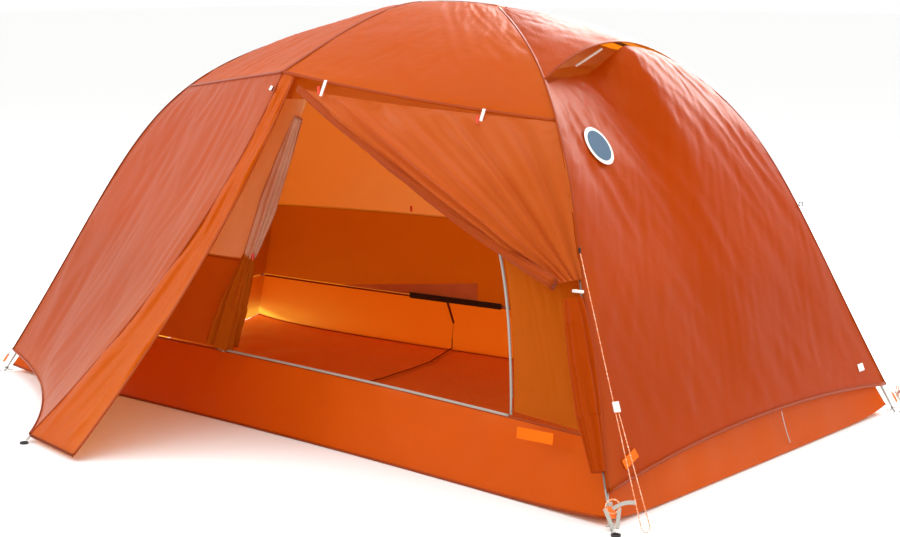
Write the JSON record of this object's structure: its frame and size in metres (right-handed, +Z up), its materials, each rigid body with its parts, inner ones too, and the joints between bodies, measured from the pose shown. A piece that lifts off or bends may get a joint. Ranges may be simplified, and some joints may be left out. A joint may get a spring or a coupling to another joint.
{
  "type": "tent",
  "caption": "Dome tent on a hubbed pole frame: hung inner tent with open side door, fly with staked vestibules, propped vent, guyline and corner fittings.",
  "frame": {"origin": "on the ground under the middle of the tent floor's length, on the tent's centre plane", "axes": "+X towards the wide head end with the vent, +Z up, -Y towards the open side door"},
  "size_m": [2.4463, 2.0867, 1.1133],
  "materials": {
    "fly_fabric": "silky coated ripstop nylon",
    "vestibule_fabric": "silky coated ripstop nylon",
    "wall_fabric": "thin plain-weave nylon",
    "mesh_fabric": "fine knitted mesh",
    "floor_fabric": "coated nylon floor",
    "bathtub_fabric": "coated nylon",
    "pocket_fabric": "thin nylon",
    "pole_aluminium": "anodised satin",
    "tip_aluminium": "machined",
    "fitting_plastic": "moulded",
    "buckle_plastic": "moulded",
    "grey_webbing": "woven webbing",
    "ring_plastic": "moulded",
    "guy_cord": "braided cord",
    "white_plastic": "moulded",
    "toggle_plastic": "moulded",
    "zip_metal": "painted die-casting",
    "zip_tape": "coil zip on woven tape",
    "bar_plastic": "woven-covered stiffener"
  },
  "bodies": {
    "tent": {"bathtub_back": "bathtub_fabric", "bathtub_foot": "bathtub_fabric", "bathtub_front": "bathtub_fabric", "bathtub_head": "bathtub_fabric", "canopy_foot": "mesh_fabric", "canopy_head": "mesh_fabric", "corner_plates": "tip_aluminium", "corner_webbing": "grey_webbing", "cross_pole": "pole_aluminium", "cross_pole_swivel": "fitting_plastic", "cross_pole_tips": "fitting_plastic", "door_back": "wall_fabric", "door_front": "wall_fabric", "door_zip_back": "zip_tape", "door_zip_front": "zip_tape", "floor": "floor_fabric", "fly_buckles": "buckle_plastic", "fly_foot_end": "fly_fabric", "fly_head_end": "fly_fabric", "fly_roof_foot_back": "fly_fabric", "fly_roof_foot_front": "fly_fabric", "fly_roof_head_back": "fly_fabric", "fly_roof_head_front": "fly_fabric", "foot_hub": "fitting_plastic", "gear_pocket": "pocket_fabric", "guy_loops": "ring_plastic", "guyline": "guy_cord", "head_hub": "fitting_plastic", "hem_tie": "guy_cord", "leg_foot_back": "pole_aluminium", "leg_foot_front": "pole_aluminium", "leg_head_back": "pole_aluminium", "leg_head_front": "pole_aluminium", "peg_rings": "ring_plastic", "pocket_bar": "bar_plastic", "pole_clips": "fitting_plastic", "pole_ferrules": "pole_aluminium", "pole_tips": "tip_aluminium", "ridge_pole": "pole_aluminium", "storm_flap_front": "vestibule_fabric", "tie_toggles": "toggle_plastic", "vent_hood": "fly_fabric", "vent_mesh": "mesh_fabric", "vestibule_foot_back": "vestibule_fabric", "vestibule_foot_front": "vestibule_fabric", "vestibule_gather": "vestibule_fabric", "vestibule_head_back": "vestibule_fabric", "vestibule_head_front": "vestibule_fabric", "vestibule_tie": "grey_webbing", "wall_foot": "wall_fabric", "wall_foot_back": "wall_fabric", "wall_foot_front": "wall_fabric", "wall_head": "wall_fabric", "wall_head_back": "wall_fabric", "wall_head_front": "wall_fabric"},
    "door_slider": {"door_slider": "zip_metal"},
    "vestibule_slider_front": {"vestibule_slider_front": "zip_metal"},
    "vestibule_slider_back": {"vestibule_slider_back": "zip_metal"},
    "vent_prop": {"vent_prop": "white_plastic"},
    "guy_tensioner": {"guy_tensioner": "white_plastic"}
  },
  "joints": [
    {"name": "door_zip_slide", "type": "slide", "parent": "tent", "child": "door_slider", "axis": [0.9977, -0.0677, 0], "range_m": [0, 0.45]},
    {"name": "vestibule_zip_front_slide", "type": "slide", "parent": "tent", "child": "vestibule_slider_front", "axis": [-0.3437, -0.3602, -0.8673], "range_m": [0, 0.36]},
    {"name": "vestibule_zip_back_slide", "type": "slide", "parent": "tent", "child": "vestibule_slider_back", "axis": [0.4701, -0.456, 0.7557], "range_m": [0, 0.4]},
    {"name": "vent_prop_fold", "type": "hinge", "parent": "tent", "child": "vent_prop", "pos_m": [0.608, -0.06, 0.957], "axis": [-0.7635, 0.6458, 0], "range_deg": [0, 44]},
    {"name": "guy_tensioner_slide", "type": "slide", "parent": "tent", "child": "guy_tensioner", "axis": [-0.4315, 0.2389, 0.8699], "range_m": [0, 0.05]}
  ]
}
